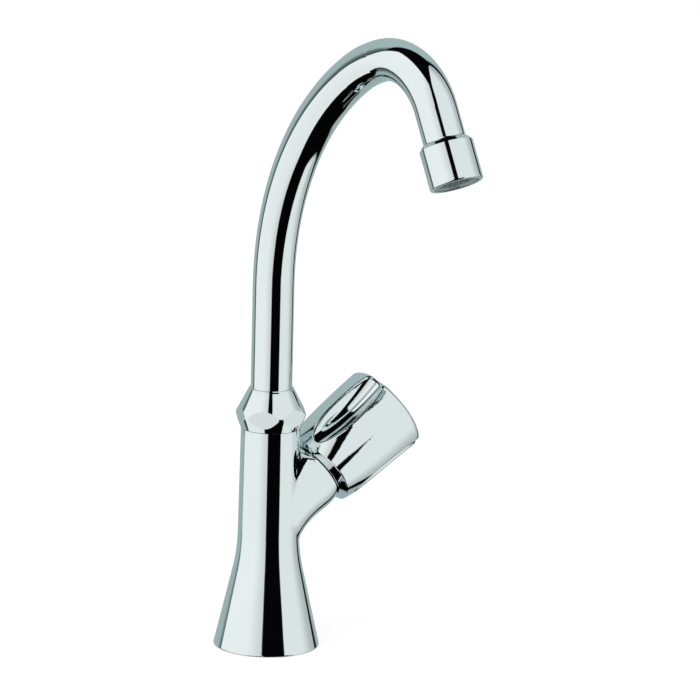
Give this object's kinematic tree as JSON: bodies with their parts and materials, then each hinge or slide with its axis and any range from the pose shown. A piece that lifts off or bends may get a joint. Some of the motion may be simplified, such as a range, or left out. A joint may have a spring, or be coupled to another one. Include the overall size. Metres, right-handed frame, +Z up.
{
  "type": "pillar tap",
  "caption": "Deck-mounted pillar tap: flared column, lobed knob on a leaning valve branch, swivelling swan-neck spout with a screw-on aerator, threaded inlet shank with backnut.",
  "frame": {"origin": "on the tap's upright axis, at the top surface of the deck that the foot stands on", "axes": "+Z up along the column and the spout's turning axis; the valve branch and knob lean out over +X; the spout at rest points over -Y, 6 degrees towards +X"},
  "size_m": [0.099, 0.1624, 0.3542],
  "materials": {
    "chrome": "bright chrome plate",
    "brass": "turned",
    "steel": "turned or stamped",
    "spring_steel": "oiled",
    "rubber": "moulded",
    "glide_plastic": "moulded",
    "insert_plastic": "moulded",
    "screen_plastic": "moulded",
    "bush_plastic": "moulded",
    "ceramic": "lapped",
    "fibre": "pressed fibre"
  },
  "bodies": {
    "tap_body": {"body": "chrome", "inlet_shank": "brass", "shank_seal": "fibre", "base_gasket": "rubber", "under_deck_seal": "rubber", "clamp_washer": "steel", "backnut": "brass", "union_nut": "chrome", "lower_glide_ring": "glide_plastic", "headwork_body": "brass", "headwork_washer": "fibre", "seat_seal": "rubber", "fixed_disc": "ceramic"},
    "spout": {"spout_tube": "chrome", "spout_tail": "brass", "upper_spout_seal": "rubber", "lower_spout_seal": "rubber", "upper_glide_ring": "glide_plastic", "spout_end_ferrule": "chrome", "aerator_housing": "chrome", "aerator_seal": "rubber", "aerator_insert": "insert_plastic", "strainer_screen": "steel", "outlet_screen": "screen_plastic"},
    "knob": {"handle": "chrome", "spline_insert": "bush_plastic", "handle_screw": "steel", "index_cap": "chrome", "spindle": "brass", "inner_spindle_seal": "rubber", "outer_spindle_seal": "rubber", "thrust_washer": "glide_plastic", "stop_ring": "steel", "spindle_clip": "spring_steel", "turning_disc": "ceramic"}
  },
  "joints": [
    {"name": "spout_swivel", "type": "hinge", "parent": "tap_body", "child": "spout", "pos_m": [0, 0, 0.112], "axis": [0, 0, 1], "continuous": true},
    {"name": "handle_turn", "type": "hinge", "parent": "tap_body", "child": "knob", "pos_m": [0, 0, 0.0609], "axis": [0.8161, 0, 0.5779], "range_deg": [0, 180]}
  ]
}
